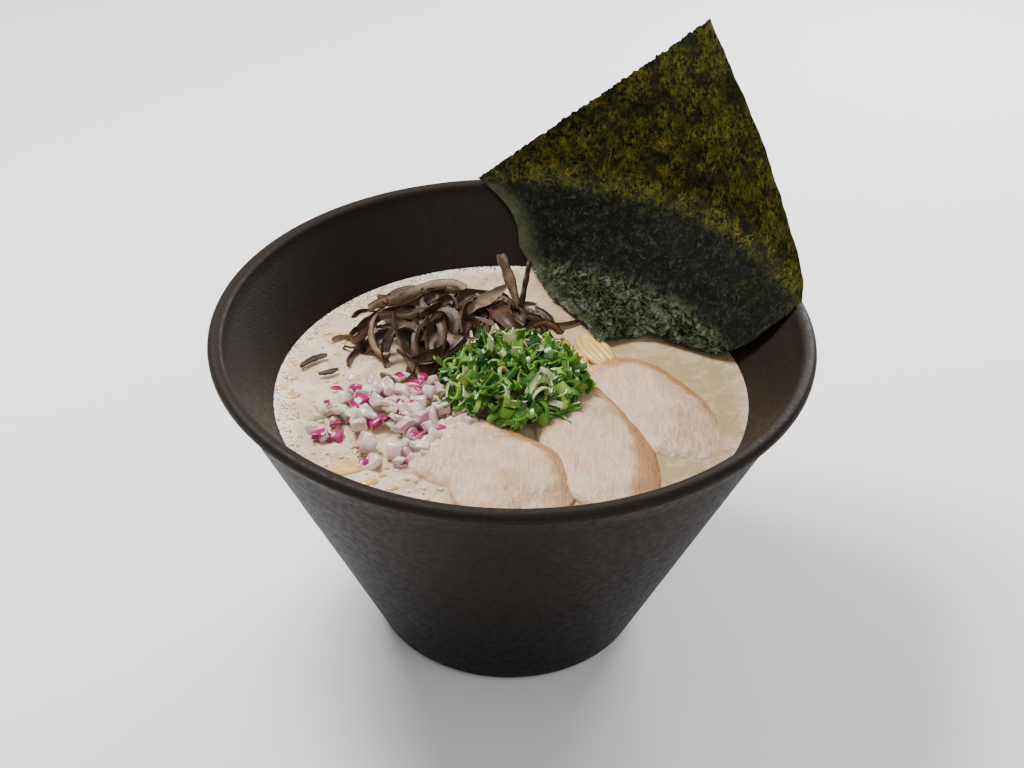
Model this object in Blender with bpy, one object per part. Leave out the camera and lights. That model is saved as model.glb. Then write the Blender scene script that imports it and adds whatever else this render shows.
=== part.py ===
"""Ramen bowl: a cone-shaped stoneware bowl of creamy broth with its toppings, as Blender solids in metres."""

import math

import bmesh
import bpy
from mathutils import Matrix, Vector, noise

# ---- driving sizes, in metres -------------------------------------------------------------------------
GAP = 0.0003  # clear space between pieces that touch

RIM_RADIUS = 0.100
RIM_HEIGHT = 0.1165
LIP_WIDTH = 0.0052  # top band of the rim
LIP_DROP = 0.0036  # height of the lip's outer face
LIP_STEP = 0.0006  # how far the lip stands out from the wall
FOOT_RADIUS = 0.0452  # where the outer wall would meet the table
FOOT_FILLET = 0.0065
INNER_FLOOR_RADIUS = 0.0390
INNER_FLOOR_HEIGHT = 0.0100
INNER_FLOOR_FILLET = 0.0140
BOWL_STEPS = 56

BROTH_LEVEL = 0.0901
BROTH_RADIUS = 0.0798  # of the bowl's inner wall at that level

SLICE_ROUND = 0.42  # how square a slice's edge is: 1 is an ellipsoid, 0 a slab

SHEET_SIDE_UP_LEFT = (0.0790, 0.0724)  # across and up, from the left corner to the top corner
SHEET_SIDE_UP_RIGHT = (0.0743, 0.0713)  # across and down, from the top corner to the right corner
SHEET_LEFT = -0.0802  # across, from the sheet's middle line to its left corner
SHEET_THICK = 0.0005
SHEET_TURN = 50.8  # which way the sheet faces, degrees round the bowl
SHEET_REST_RADIUS = 0.0966  # where the sheet leans on the rim
SHEET_REST_HEIGHT = 0.1187
SHEET_LEAN = 4.4  # degrees, above the rim
SHEET_TWIST = 9.7  # degrees of lean lost over 70 mm across
SHEET_WALL_LEAN = 38.0  # degrees, between the rim and the broth
SHEET_WALL_RUN = 0.0335  # length of sheet from the rim down to the broth
SHEET_CELLS = 18
EDGE_BOW = 0.0105  # how far its lower right edge bows out
EDGE_HOLLOW = 0.0045  # and its left edge curls in just under the rim
WET_START = 0.044  # how far down the sheet goes soft and shrinks
WET_SHRINK = 0.92
WET_SHIFT = 0.60

WHOLE = {}  # each piece's mesh before its neighbours are cut out of it


def clear_scene():
    for item in list(bpy.data.objects):
        bpy.data.objects.remove(item, do_unlink=True)


def material(name, colour, rough):
    made = bpy.data.materials.new(name)
    made.use_nodes = True
    shader = made.node_tree.nodes["Principled BSDF"]
    shader.inputs["Base Color"].default_value = (*colour, 1.0)
    shader.inputs["Roughness"].default_value = rough
    return made


def finish(bm, name, colour, rough, lie=None):
    """Closes a bmesh off as a smooth-shaded object with its own material, placed by a matrix."""
    bmesh.ops.triangulate(bm, faces=bm.faces)
    bmesh.ops.recalc_face_normals(bm, faces=bm.faces)
    mesh = bpy.data.meshes.new(name)
    bm.to_mesh(mesh)
    bm.free()
    obj = bpy.data.objects.new(name, mesh)
    bpy.context.scene.collection.objects.link(obj)
    if lie is not None:
        obj.matrix_world = lie
    mesh.materials.append(material(name, colour, rough))
    mesh.shade_smooth()
    WHOLE[name] = mesh.copy()
    return obj


def pick(obj):
    bpy.ops.object.select_all(action="DESELECT")
    obj.select_set(True)
    bpy.context.view_layer.objects.active = obj


def grown(obj):
    """A piece as it was before any cut, a gap larger all round, to cut its neighbours with."""
    copy = bpy.data.objects.new("cutter", WHOLE[obj.name].copy())
    bpy.context.scene.collection.objects.link(copy)
    copy.matrix_world = obj.matrix_world
    copy.hide_render = True
    copy.display_type = "WIRE"
    if obj.name.startswith("wood_ear_strip"):
        swell = copy.modifiers.new("swell", "DISPLACE")
        swell.mid_level = 0.0
        swell.strength = GAP
        pick(copy)
        bpy.ops.object.modifier_apply(modifier=swell.name)
        return copy
    reach = [max(abs(vert.co[i]) for vert in copy.data.vertices) for i in range(3)]
    for vert in copy.data.vertices:
        for i in range(3):
            vert.co[i] *= 1 + 1.5 * GAP / reach[i]
    return copy


def cut(obj, *others):
    """Takes grown copies of the others away from a piece, so they sit clear of each other."""
    cutters = bpy.data.collections.new("cutters")
    bpy.context.scene.collection.children.link(cutters)
    for other in others:
        cutters.objects.link(grown(other))
    tool = obj.modifiers.new("cut", "BOOLEAN")
    tool.operation = "DIFFERENCE"
    tool.solver = "EXACT"
    tool.operand_type = "COLLECTION"
    tool.collection = cutters
    pick(obj)
    bpy.ops.object.modifier_apply(modifier=tool.name)
    for cutter in list(cutters.objects):
        bpy.data.objects.remove(cutter, do_unlink=True)
    bpy.data.collections.remove(cutters)


def keep_largest(obj):
    """Drops the crumbs that a cut leaves beside the main body, and puts its place in its mesh."""
    obj.data.transform(obj.matrix_world)
    obj.matrix_world = Matrix()
    bm = bmesh.new()
    bm.from_mesh(obj.data)
    bmesh.ops.remove_doubles(bm, verts=bm.verts, dist=0.000005)
    todo = set(bm.faces)
    groups = []
    while todo:
        stack = [todo.pop()]
        group = set(stack)
        while stack:
            near = {face for edge in stack.pop().edges for face in edge.link_faces} & todo
            todo -= near
            group |= near
            stack.extend(near)
        groups.append(group)
    groups.sort(key=len)
    for group in groups[:-1]:
        bmesh.ops.delete(bm, geom=list(group), context="FACES")
    bm.to_mesh(obj.data)
    bm.free()


# ---- the bowl -----------------------------------------------------------------------------------------


def arc(centre, radius, start, end, steps):
    """Points round an arc in the (radius, height) plane; angles in degrees."""
    points = []
    for i in range(steps + 1):
        a = math.radians(start + (end - start) * i / steps)
        points.append((centre[0] + radius * math.cos(a), centre[1] + radius * math.sin(a)))
    return points


def outer_slope():
    """Angle of the outer wall from level, in degrees."""
    return math.degrees(math.atan2(RIM_HEIGHT, RIM_RADIUS - FOOT_RADIUS))


def inner_slope():
    return math.degrees(math.atan2(BROTH_LEVEL - INNER_FLOOR_HEIGHT, BROTH_RADIUS - INNER_FLOOR_RADIUS))


def foot_profile():
    slope = outer_slope()
    flat = FOOT_RADIUS - FOOT_FILLET * math.tan(math.radians(slope / 2))
    return [(0.0, 0.0), (flat * 0.6, 0.0)] + arc((flat, FOOT_FILLET), FOOT_FILLET, -90, slope - 90, 5)


def lip_profile():
    """Outer wall's top, the stepped lip, its round top and the inner edge."""
    slope = math.radians(outer_slope())
    under = RIM_HEIGHT - LIP_DROP - 0.0008
    wall = RIM_RADIUS - (RIM_HEIGHT - under) / math.tan(slope) - LIP_STEP
    r = LIP_WIDTH * 0.42
    points = [(wall, under), (RIM_RADIUS - 0.0007, RIM_HEIGHT - LIP_DROP)]
    points += arc((RIM_RADIUS - r, RIM_HEIGHT - r), r, 0, 85, 4)
    points += arc((RIM_RADIUS - LIP_WIDTH + r, RIM_HEIGHT - r), r, 95, 170, 4)
    return points


def inner_profile():
    slope = inner_slope()
    turn = math.radians(slope / 2)
    flat = INNER_FLOOR_RADIUS - INNER_FLOOR_FILLET * math.tan(turn)
    centre = (flat, INNER_FLOOR_HEIGHT + INNER_FLOOR_FILLET)
    points = [(BROTH_RADIUS, BROTH_LEVEL)]
    points += arc(centre, INNER_FLOOR_FILLET, slope - 90, -90, 4)
    return points + [(0.0, INNER_FLOOR_HEIGHT)]


def turned(profile, steps):
    """Turns a profile of (radius, height) points round the Z axis into a closed mesh."""
    bm = bmesh.new()
    verts = [bm.verts.new((r, 0.0, z)) for r, z in profile]
    edges = [bm.edges.new(pair) for pair in zip(verts, verts[1:])]
    bmesh.ops.spin(
        bm,
        geom=verts + edges,
        cent=(0, 0, 0),
        axis=(0, 0, 1),
        angle=math.tau,
        steps=steps,
        use_merge=True,
    )
    bmesh.ops.remove_doubles(bm, verts=bm.verts, dist=0.00001)
    return bm


def bowl():
    profile = foot_profile() + lip_profile() + inner_profile()
    return finish(turned(profile, BOWL_STEPS), "bowl", (0.030, 0.024, 0.020), 0.62)


def broth():
    """Everything below the surface, clear of the bowl by the gap."""
    slope = inner_slope()
    side = GAP / math.sin(math.radians(slope))
    flat = INNER_FLOOR_RADIUS - INNER_FLOOR_FILLET * math.tan(math.radians(slope / 2))
    centre = (flat, INNER_FLOOR_HEIGHT + INNER_FLOOR_FILLET)
    profile = [(0.0, INNER_FLOOR_HEIGHT + GAP)]
    profile += arc(centre, INNER_FLOOR_FILLET - GAP, -90, slope - 90, 4)
    profile += [(BROTH_RADIUS - side - 0.0002, BROTH_LEVEL), (0.0, BROTH_LEVEL)]
    return finish(turned(profile, BOWL_STEPS), "broth", (0.78, 0.66, 0.48), 0.3)


# ---- the chicken --------------------------------------------------------------------------------------


def slab_point(direction, size, square):
    """Moves a point of a unit ball out to a slab with a round edge."""
    flat = math.hypot(direction.x, direction.y)
    if flat < 1e-6:
        return Vector((0.0, 0.0, math.copysign(size[2], direction.z)))
    up = math.copysign(abs(direction.z) ** square, direction.z)
    out = flat**square
    return Vector((direction.x / flat * out * size[0], direction.y / flat * out * size[1], up * size[2]))


def chicken_slice(name, place, size, turn, tilt, taper, seed):
    """One slice: an egg-shaped slab, domed a little, wavy, tilted the way it lies on the next one."""
    bm = bmesh.new()
    bmesh.ops.create_uvsphere(bm, u_segments=26, v_segments=8, radius=1.0)
    for vert in bm.verts:
        p = slab_point(vert.co.normalized(), size, SLICE_ROUND)
        along = p.y / size[1]
        p.x *= 1.0 - taper * along
        wave = noise.noise(Vector((p.x * 55, p.y * 55, seed)))
        ripple = noise.noise(Vector((vert.co.x * 1.7, vert.co.y * 1.7, seed + 9.0)))
        p.x *= 1.0 + 0.06 * ripple
        p.y *= 1.0 + 0.06 * ripple
        p.z += 0.0009 * wave
        vert.co = p
    lie = Matrix.Translation(place) @ Matrix.Rotation(math.radians(turn), 4, "Z")
    lean = Matrix.Rotation(math.radians(tilt[0]), 4, "X") @ Matrix.Rotation(math.radians(tilt[1]), 4, "Y")
    return finish(bm, name, (0.74, 0.58, 0.45), 0.45, lie @ lean)


def chicken():
    left = chicken_slice("chicken_slice_1", (-0.0140, -0.0340, 0.0890), (0.0215, 0.0195, 0.0036), 12,
                         (0, -2), 0.05, 1.0)
    front = chicken_slice("chicken_slice_2", (0.0005, -0.0480, 0.0905), (0.0200, 0.0235, 0.0036), 8,
                          (-2, 2), 0.26, 2.0)
    middle = chicken_slice("chicken_slice_3", (0.0272, -0.0290, 0.0895), (0.0185, 0.0385, 0.0036), 14,
                           (0, 2), 0.10, 3.0)
    right = chicken_slice("chicken_slice_4", (0.0478, -0.0070, 0.0885), (0.0180, 0.0335, 0.0036), 32,
                          (0, 2), 0.06, 4.0)
    cut(left, front)
    cut(middle, front)
    cut(right, middle)
    return [left, front, middle, right]


# ---- the seaweed sheet --------------------------------------------------------------------------------


def sheet_lean(across, up):
    """Angle of the sheet from upright, in radians, at a height above or below where it leans."""
    above = SHEET_LEAN - SHEET_TWIST * across / 0.070
    blend = min(max((up + 0.001) / 0.011, 0.0), 1.0)
    lean = SHEET_WALL_LEAN + (above - SHEET_WALL_LEAN) * blend * blend * (3 - 2 * blend)
    bend = min(max((-up - SHEET_WALL_RUN + 0.004) / 0.008, 0.0), 1.0)
    return math.radians(lean + (90.0 - lean) * bend * bend * (3 - 2 * bend))


def sheet_point(across, up):
    """Where a point of the flat sheet lies once it leans on the rim and rests on the broth."""
    steps = max(1, math.ceil(abs(up) / 0.001))
    step = up / steps
    radius = SHEET_REST_RADIUS
    height = SHEET_REST_HEIGHT
    for i in range(steps):
        lean = sheet_lean(across, step * (i + 0.5))
        radius += step * math.sin(lean)
        height += step * math.cos(lean)
    opened = 1.0 + 0.1 * max(up, 0.0) / 0.070
    turn = math.radians(SHEET_TURN) - across / (radius * opened)
    return Vector((radius * math.cos(turn), radius * math.sin(turn), height))


def soaked(across, up):
    """The wet lower corner shrinks and shifts; the right edge bows out."""
    if up < 0 and across > 0:
        across += EDGE_BOW * math.sin(math.pi * min(-up / 0.060, 1.0)) * min(across / 0.030, 1.0)
    if up < 0 and across < 0:
        across += EDGE_HOLLOW * math.sin(math.pi * min(-up / 0.026, 1.0)) * min(-across / 0.060, 1.0)
    if up < -WET_START:
        across += max(-up - 0.052, 0.0) * WET_SHIFT
        up = -(WET_START + (-up - WET_START) * WET_SHRINK)
    return across, up


def nori_sheet():
    """A square sheet, one corner up: a grid bent to its lie, then given its thickness."""
    bm = bmesh.new()
    bmesh.ops.create_grid(bm, x_segments=SHEET_CELLS, y_segments=SHEET_CELLS, size=0.5)
    for vert in bm.verts:
        a = vert.co.x + 0.5
        b = vert.co.y + 0.5
        across = SHEET_LEFT + a * SHEET_SIDE_UP_LEFT[0] + b * SHEET_SIDE_UP_RIGHT[0]
        up = a * SHEET_SIDE_UP_LEFT[1] - b * SHEET_SIDE_UP_RIGHT[1]
        vert.co = sheet_point(*soaked(across, up))
    sheet = finish(bm, "nori_sheet", (0.030, 0.034, 0.012), 0.55)
    body = sheet.modifiers.new("body", "SOLIDIFY")
    body.thickness = SHEET_THICK
    body.offset = 0.0
    pick(sheet)
    bpy.ops.object.modifier_apply(modifier=body.name)
    return sheet


# ---- heaps and loose strips ---------------------------------------------------------------------------


def heap(name, place, size, turn, square, lump, seed, colour, rough):
    """One solid out to the uneven outline of a heap: size is across, along, above and below its place."""
    bm = bmesh.new()
    bmesh.ops.create_uvsphere(bm, u_segments=24, v_segments=12, radius=1.0)
    for vert in bm.verts:
        d = vert.co.normalized()
        swell = 1.0 + lump * noise.noise(Vector((d.x * 2.2, d.y * 2.2, d.z * 2.2 + seed)))
        swell += lump * 0.6 * noise.noise(Vector((d.x * 5.0, d.y * 5.0, d.z * 5.0 + seed)))
        height = size[2] if d.z > 0 else size[3]
        vert.co = slab_point(d, (size[0], size[1], height), square) * swell
    lie = Matrix.Translation(place) @ Matrix.Rotation(math.radians(turn), 4, "Z")
    return finish(bm, name, colour, rough, lie)


def strip(name, start, heading, pitch, length, turn, sag, width, roll):
    """One ribbon of wood ear swept along a bend; angles in degrees, turn and sag over its whole length."""
    thick = 0.0011
    steps = 9
    bm = bmesh.new()
    place = Vector(start)
    rings = []
    for i in range(steps + 1):
        t = i / steps
        way = math.radians(heading + turn * t)
        rise = math.radians(pitch + sag * t)
        ahead = Vector((math.cos(way) * math.cos(rise), math.sin(way) * math.cos(rise), math.sin(rise)))
        side = ahead.cross(Vector((0, 0, 1))).normalized()
        side = Matrix.Rotation(math.radians(roll), 3, ahead) @ side
        face = side.cross(ahead).normalized()
        half = width * (0.5 - 0.2 * abs(2 * t - 0.9) ** 3)
        corners = [(half, 0), (half * 0.6, thick / 2), (-half * 0.6, thick / 2)]
        corners += [(-half, 0), (-half * 0.6, -thick / 2), (half * 0.6, -thick / 2)]
        rings.append([bm.verts.new(place + side * u + face * v) for u, v in corners])
        place = place + ahead * (length / steps)
    for low, high in zip(rings, rings[1:]):
        for k in range(6):
            bm.faces.new((low[k], low[(k + 1) % 6], high[(k + 1) % 6], high[k]))
    bm.faces.new(rings[0])
    bm.faces.new(reversed(rings[-1]))
    return finish(bm, name, (0.10, 0.055, 0.035), 0.5)


def wood_ear_strips():
    return [
        strip("wood_ear_strip_1", (-0.0002, 0.0430, 0.1000), 112, 40, 0.0160, 20, 20, 0.0055, 80),
        strip("wood_ear_strip_2", (0.0024, 0.0443, 0.1000), 84, 42, 0.0125, -24, 28, 0.0038, 80),
        strip("wood_ear_strip_3", (-0.0185, 0.0261, 0.1030), 36, 12, 0.0215, 12, -6, 0.0038, 30),
        strip("wood_ear_strip_4", (-0.0720, 0.0100, 0.0917), 60, 0, 0.0115, -38, 0, 0.0024, 0),
        strip("wood_ear_strip_5", (-0.0655, 0.0060, 0.0917), 10, 0, 0.0072, 32, 0, 0.0022, 0),
    ]


def main():
    clear_scene()
    bowl()
    soup = broth()
    slices = chicken()
    nori_sheet()
    strips = wood_ear_strips()
    noodles = heap("noodle_bundle", (0.0255, 0.0215, 0.0880), (0.0100, 0.0130, 0.0036, 0.0040), 20, 0.8,
                   0.15, 3.0, (0.80, 0.58, 0.26), 0.4)
    ears = heap("wood_ear_heap", (-0.0190, 0.0290, 0.0900), (0.0350, 0.0260, 0.0130, 0.0060), -12, 0.75,
                0.30, 5.0, (0.07, 0.035, 0.025), 0.5)
    greens = heap("scallion_heap", (0.0010, -0.0030, 0.0945), (0.0255, 0.0220, 0.0150, 0.0040), 0, 0.8,
                  0.25, 7.0, (0.10, 0.30, 0.02), 0.4)
    onion = heap("red_onion_heap", (-0.0390, -0.0180, 0.0905), (0.0300, 0.0250, 0.0062, 0.0050), 0, 0.5,
                 0.22, 11.0, (0.72, 0.52, 0.52), 0.35)
    cut(noodles, *slices)
    cut(ears, *slices, noodles, *strips[:3])
    cut(greens, *slices, noodles, ears)
    cut(onion, *slices, ears, greens)
    cut(soup, *slices, noodles, ears, greens, onion)
    for piece in [*slices, noodles, ears, greens, onion, soup]:
        keep_largest(piece)


main()
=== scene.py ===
"""Dressed ramen bowl: stoneware, creamy broth, sliced chicken, wood ear, scallion, red onion and nori."""

import math
import random

import bmesh
import bpy
from mathutils import Matrix, Vector, noise


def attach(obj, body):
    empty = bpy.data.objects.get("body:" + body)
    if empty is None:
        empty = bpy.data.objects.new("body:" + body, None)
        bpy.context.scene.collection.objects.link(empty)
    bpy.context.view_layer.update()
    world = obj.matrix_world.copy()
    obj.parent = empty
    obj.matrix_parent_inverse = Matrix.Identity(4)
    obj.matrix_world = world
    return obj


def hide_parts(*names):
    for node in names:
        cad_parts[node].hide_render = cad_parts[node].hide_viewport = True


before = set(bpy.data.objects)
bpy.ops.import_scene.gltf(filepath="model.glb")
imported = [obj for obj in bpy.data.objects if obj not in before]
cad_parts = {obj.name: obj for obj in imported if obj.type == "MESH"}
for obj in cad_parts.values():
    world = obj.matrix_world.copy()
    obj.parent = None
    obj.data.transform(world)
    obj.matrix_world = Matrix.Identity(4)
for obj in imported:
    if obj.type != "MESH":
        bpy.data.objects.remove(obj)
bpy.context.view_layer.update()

# ---- the sizes the dish is made to, in metres and degrees ---------------------------------------------
RIM_RADIUS = 0.100
RIM_HEIGHT = 0.1165
LIP_WIDTH = 0.0052
FOOT_RADIUS = 0.0452
BROTH_LEVEL = 0.0901
BROTH_RADIUS = 0.0798
BROTH_DEPTH = 0.0790
FOOT_FILLET = 0.0055
LIP_ROUND = 0.0021  # radius of the lip's rolled edge
INNER_FLOOR = (0.0390, 0.0115)  # where the inside wall turns into the floor: radius, height
SLICE_SQUARE = 0.42
SHARP_DEG = 40  # edges sharper than this are rounded on small blocks
SMOOTH_DEG = 50  # edges flatter than this are shaded smooth

WOOD_EAR_PLACE = (-0.0190, 0.0290, 0.0905)
WOOD_EAR_SIZE = (0.0350, 0.0265)
WOOD_EAR_TURN = -12
WOOD_EAR_TOP = 0.0125
WOOD_EAR_THICK = 0.0045  # what a thickness of 1 in the blank becomes
SCALLION_PLACE = (0.0010, -0.0030, 0.0940)
SCALLION_SIZE = (0.0245, 0.0215)
SCALLION_TOP = 0.0150
ONION_PLACE = (-0.0390, -0.0180, 0.0895)
ONION_SIZE = (0.0315, 0.0265)
ONION_TOP = 0.0062
NOODLE_PLACE = (0.0255, 0.0215, 0.0912)
NOODLE_TURN = 28
NOODLE_RADIUS = 0.0013
NOODLE_LENGTH = 0.024

CAMERA_LENS = 70.3
CAMERA_ELEVATION = 35.13
CAMERA_ROLL = 1.10
CAMERA_AIM = (0.00018, 0, 0.0930)
CAMERA_AWAY = 0.6726


# ---- finishes: sockets as Python values, nodes by one method ------------------------------------------


class Value:
    """A socket of a finish. Sums and products on it add Math nodes."""

    def __init__(self, finish, socket):
        self.finish = finish
        self.socket = socket

    def sum_of(self, operation, first, second):
        return self.finish.node("ShaderNodeMath", {"operation": operation}, {0: first, 1: second})

    def __add__(self, other):
        return self.sum_of("ADD", self, other)

    def __radd__(self, other):
        return self.sum_of("ADD", other, self)

    def __sub__(self, other):
        return self.sum_of("SUBTRACT", self, other)

    def __rsub__(self, other):
        return self.sum_of("SUBTRACT", other, self)

    def __mul__(self, other):
        return self.sum_of("MULTIPLY", self, other)

    def __rmul__(self, other):
        return self.sum_of("MULTIPLY", other, self)


class Finish:
    """One material: a Principled shader whose sockets take values, colours and patterns."""

    def __init__(self, name, **constants):
        self.material = bpy.data.materials.new(name)
        self.material.use_nodes = True
        self.tree = self.material.node_tree
        self.shader = self.tree.nodes["Principled BSDF"]
        self.output = self.tree.nodes["Material Output"]
        for socket, value in constants.items():
            self.shader.inputs[socket.replace("_", " ")].default_value = value
        self.place = self.node("ShaderNodeTexCoord", {}, {}, "Object")

    def node(self, kind, settings, sockets, out=0):
        """Adds a node: its settings first, then the values or links of its sockets; gives one output."""
        made = self.tree.nodes.new(kind)
        for key, value in settings.items():
            setattr(made, key, value)
        for key, value in sockets.items():
            self.join(value, made.inputs[key])
        return Value(self, made.outputs[out])

    def join(self, value, socket):
        if isinstance(value, Value):
            self.tree.links.new(value.socket, socket)
        else:
            socket.default_value = value

    def feed(self, name, value):
        self.join(value, self.shader.inputs[name])

    def at(self, scale, turn=(0, 0, 0)):
        """The place on the object, stretched and turned, for a pattern that runs one way."""
        sockets = {"Vector": self.place, "Rotation": turn, "Scale": scale}
        return self.node("ShaderNodeMapping", {}, sockets)

    def grain(self, scale, detail=3.0, rough=0.5, where=None, warp=0.0):
        return self.node(
            "ShaderNodeTexNoise",
            {},
            {"Vector": where or self.place, "Scale": scale, "Detail": detail, "Roughness": rough,
             "Distortion": warp},
        )

    def cells(self, scale):
        return self.node("ShaderNodeTexVoronoi", {}, {"Vector": self.place, "Scale": scale}, "Distance")

    def ramp(self, value, low, high, start=0.0, end=1.0):
        """Maps a value from low..high to start..end, held at the ends."""
        return self.node(
            "ShaderNodeMapRange",
            {"clamp": True, "interpolation_type": "SMOOTHSTEP"},
            {"Value": value, "From Min": low, "From Max": high, "To Min": start, "To Max": end},
        )

    def mix(self, share, first, second):
        sockets = {0: share, 6: colour(first), 7: colour(second)}
        return self.node("ShaderNodeMix", {"data_type": "RGBA"}, sockets, 2)

    def axis(self, letter):
        return self.node("ShaderNodeSeparateXYZ", {}, {0: self.place}, letter)

    def mark(self, name):
        return self.node("ShaderNodeAttribute", {"attribute_name": name}, {}, "Fac")

    def relief(self, height, strength, distance, under=None):
        sockets = {"Height": height, "Strength": strength, "Distance": distance}
        if under is not None:
            sockets["Normal"] = under
        return self.node("ShaderNodeBump", {}, sockets)


def colour(value):
    return (*value, 1.0) if isinstance(value, tuple) and len(value) == 3 else value


# ---- bench tools --------------------------------------------------------------------------------------


def put_down():
    """Leaves edit mode with nothing selected."""
    if bpy.context.object and bpy.context.object.mode != "OBJECT":
        bpy.ops.object.mode_set(mode="OBJECT")
    bpy.ops.object.select_all(action="DESELECT")


def pick(obj):
    put_down()
    obj.select_set(True)
    bpy.context.view_layer.objects.active = obj


def named(name):
    obj = bpy.context.object
    obj.name = name
    obj.data.name = name
    return obj


def choose_edges(obj, test):
    """In edit mode, selects the edges whose middle passes a test on its place."""
    bpy.ops.mesh.select_mode(type="EDGE")
    bpy.ops.mesh.select_all(action="DESELECT")
    bm = bmesh.from_edit_mesh(obj.data)
    for edge in bm.edges:
        edge.select = test((edge.verts[0].co + edge.verts[1].co) / 2)
    bm.select_flush_mode()
    bmesh.update_edit_mesh(obj.data)


def shape(obj, move):
    """Moves every vertex of a mesh by a function of its place."""
    for vert in obj.data.vertices:
        vert.co = move(vert.co.copy())
    obj.data.update()


def apply_all(obj):
    pick(obj)
    for modifier in list(obj.modifiers):
        bpy.ops.object.modifier_apply(modifier=modifier.name)


def thicken(obj, thickness, offset=0.0):
    wall = obj.modifiers.new("wall", "SOLIDIFY")
    wall.thickness = thickness
    wall.offset = offset
    apply_all(obj)


def round_off(obj, width):
    soft = obj.modifiers.new("soft", "BEVEL")
    soft.width = width
    soft.segments = 1
    soft.limit_method = "ANGLE"
    soft.angle_limit = math.radians(SHARP_DEG)
    apply_all(obj)


def face_outwards(obj):
    pick(obj)
    bpy.ops.object.mode_set(mode="EDIT")
    bpy.ops.mesh.select_all(action="SELECT")
    bpy.ops.mesh.remove_doubles(threshold=0.000002)
    bpy.ops.mesh.normals_make_consistent(inside=False)
    bpy.ops.object.mode_set(mode="OBJECT")


def place_in_mesh(obj):
    pick(obj)
    bpy.ops.object.transform_apply(location=True, rotation=True, scale=True)


def copy_of(obj, name, lie):
    """A copy with its own mesh, placed by a matrix and kept in its mesh."""
    copy = bpy.data.objects.new(name, obj.data.copy())
    bpy.context.scene.collection.objects.link(copy)
    copy.data.transform(lie)
    return copy


def joined(pieces, name):
    """Joins copies of one kind into one piece."""
    pick(pieces[0])
    for piece in pieces:
        piece.select_set(True)
    bpy.ops.object.join()
    return named(name)


def dress(obj, finishes):
    """Adds the finishes to a blank in order, so that its faces' numbers pick one."""
    for finish in finishes:
        obj.data.materials.append(finish.material)


def done(obj, finishes, slot, *nodes):
    """Gives a finished piece its materials and its body, and hides the nodes that it stands for; slot is not
    used.
    """
    place_in_mesh(obj)
    if not obj.data.materials:
        dress(obj, finishes)
    pick(obj)
    bpy.ops.object.shade_smooth_by_angle(angle=math.radians(SMOOTH_DEG))
    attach(obj, "root")
    if nodes:
        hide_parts(*nodes)
    put_down()
    return obj


def mark_vertices(obj, name, measure):
    """Writes a value for every vertex, from its place, that a finish can read."""
    layer = obj.data.attributes.new(name, "FLOAT", "POINT")
    for i, vert in enumerate(obj.data.vertices):
        layer.data[i].value = measure(vert.co)


# ---- the bowl -----------------------------------------------------------------------------------------


def glaze():
    """Matt near-black stoneware glaze with fine specks and pits; near-black at the foot and dark brown at the
    rim, painted shade low on the bowl.
    """
    f = Finish("stoneware", Specular_IOR_Level=0.09)
    up = f.axis("Z")
    cloud = f.grain(150.0, 5.0, 0.65)
    speck = f.ramp(f.cells(1100.0), 0.0, 0.30, 1.0, 0.0)
    rare = f.ramp(f.grain(520.0, 2.0), 0.52, 0.62)
    # painted shade: the colour darkens from the rim down to the foot and to the inside floor
    base = f.mix(f.ramp(up, 0.0, 0.114), (0.0022, 0.0014, 0.0010), (0.0150, 0.0102, 0.0072))
    base = f.mix(cloud * 0.18, base, (0.0085, 0.0057, 0.0040))
    base = f.mix(speck * rare * 0.4, base, (0.075, 0.056, 0.043))
    f.feed("Base Color", base)
    f.feed("Roughness", f.ramp(f.grain(420.0, 4.0), 0.3, 0.7, 0.46, 0.60))
    pits = f.ramp(f.cells(760.0), 0.0, 0.45)
    f.feed("Normal", f.relief(pits * 0.7 + f.grain(1100.0, 3.0) * 0.5, 0.35, 0.0003))
    return f


def pull_ring(radius, height, state):
    """Extrudes the open rim of the clay and takes it to a new radius and height."""
    bpy.ops.mesh.extrude_edges_move(TRANSFORM_OT_translate={"value": (0, 0, height - state[1])})
    grow = radius / state[0]
    bpy.ops.transform.resize(value=(grow, grow, 1), center_override=(0, 0, 0))
    state[0] = radius
    state[1] = height


def pull_straight(radius, height, rings, state):
    """Takes the rim along a straight wall to a radius and height, in equal rings."""
    start = list(state)
    for i in range(1, rings + 1):
        t = i / rings
        pull_ring(start[0] + (radius - start[0]) * t, start[1] + (height - start[1]) * t, state)


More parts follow.
